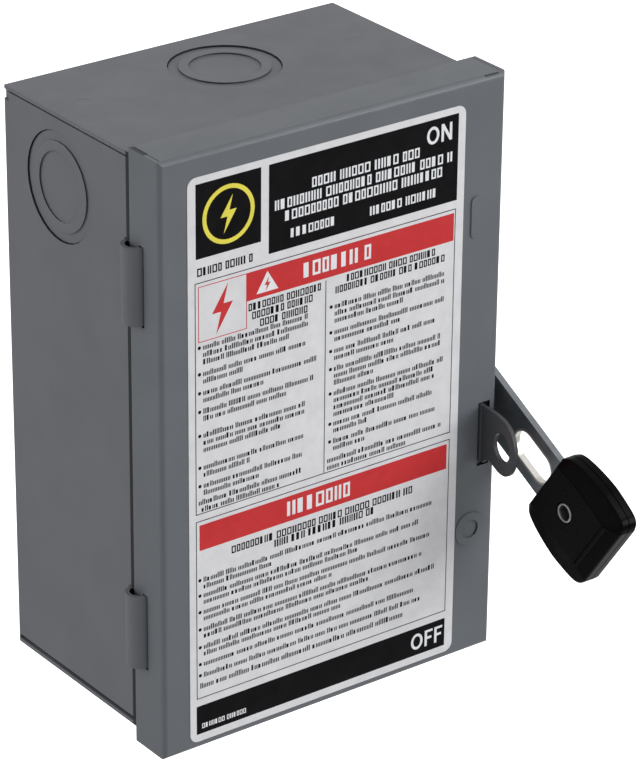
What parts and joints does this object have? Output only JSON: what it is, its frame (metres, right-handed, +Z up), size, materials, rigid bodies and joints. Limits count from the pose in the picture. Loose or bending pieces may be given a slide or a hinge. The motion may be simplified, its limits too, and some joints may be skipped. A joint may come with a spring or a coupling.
{
  "type": "enclosed safety switch",
  "caption": "Wall-mounted grey steel disconnect box with a hinged door, printed label, hasp tab and side lever working a fused knife switch.",
  "frame": {"origin": "centre of the enclosure's back face, which lies against the wall", "axes": "+X towards the operating handle, +Y into the wall, +Z up; the door faces -Y"},
  "size_m": [0.1398, 0.1436, 0.1974],
  "materials": {
    "body_paint": "satin grey baked enamel",
    "door_paint": "satin grey baked enamel",
    "label_print": "printed vinyl sheet, satin",
    "arm_steel": "zinc-plated sheared steel",
    "zinc_steel": "bright zinc plate",
    "spring_steel": "oiled spring steel",
    "copper": "plain copper, slightly tarnished",
    "tinned_copper": "dull tin plate",
    "brass": "satin brass",
    "aluminium": "extruded, satin",
    "grip_plastic": "black, satin-gloss moulded",
    "phenolic": "dark moulded phenolic",
    "fuse_fibre": "vulcanised fibre tube"
  },
  "bodies": {
    "enclosure": {"enclosure_body": "body_paint", "knockout_top": "body_paint", "knockout_bottom": "body_paint", "knockout_left": "body_paint", "knockout_right": "body_paint", "return_spring": "spring_steel", "bushing_nut": "zinc_steel", "rotor_bracket": "zinc_steel", "bracket_screw": "zinc_steel", "ground_wire_screw": "zinc_steel", "ground_fixing_screw": "zinc_steel", "base_screw_1": "zinc_steel", "base_screw_2": "zinc_steel", "base_screw_3": "zinc_steel", "line_wire_screw_1": "zinc_steel", "line_wire_screw_2": "zinc_steel", "load_wire_screw_1": "zinc_steel", "load_wire_screw_2": "zinc_steel", "neutral_screw_1": "zinc_steel", "neutral_screw_2": "zinc_steel", "neutral_screw_3": "zinc_steel", "neutral_screw_4": "zinc_steel", "neutral_screw_5": "zinc_steel", "switch_base": "phenolic", "neutral_foot_upper": "phenolic", "neutral_foot_lower": "phenolic", "hinge_jaw_and_clip_1": "copper", "hinge_jaw_and_clip_2": "copper", "line_terminal_1": "tinned_copper", "line_terminal_2": "tinned_copper", "load_terminal_1": "tinned_copper", "load_terminal_2": "tinned_copper", "shaft_bushing": "brass", "fuse_cap_top_1": "brass", "fuse_cap_top_2": "brass", "fuse_cap_bottom_1": "brass", "fuse_cap_bottom_2": "brass", "fuse_tube_1": "fuse_fibre", "fuse_tube_2": "fuse_fibre", "neutral_bar": "aluminium", "ground_lug": "aluminium"},
    "door": {"door_panel": "door_paint", "door_label": "label_print"},
    "handle": {"handle_arm": "arm_steel", "handle_grip_left": "grip_plastic", "handle_grip_right": "grip_plastic", "grip_rivet": "spring_steel", "handle_spacer": "zinc_steel", "drive_shaft": "zinc_steel", "handle_screw": "zinc_steel", "retaining_ring": "spring_steel", "rotor_bar": "phenolic", "blade_1": "copper", "blade_2": "copper"}
  },
  "joints": [
    {"name": "door_hinge", "type": "hinge", "parent": "enclosure", "child": "door", "pos_m": [-0.0608, -0.06935, 0], "axis": [0, 0, -1], "range_deg": [0, 110]},
    {"name": "handle_pivot", "type": "hinge", "parent": "enclosure", "child": "handle", "pos_m": [0.06, -0.0443, 0], "axis": [-1, 0, 0], "range_deg": [0, 56]}
  ]
}
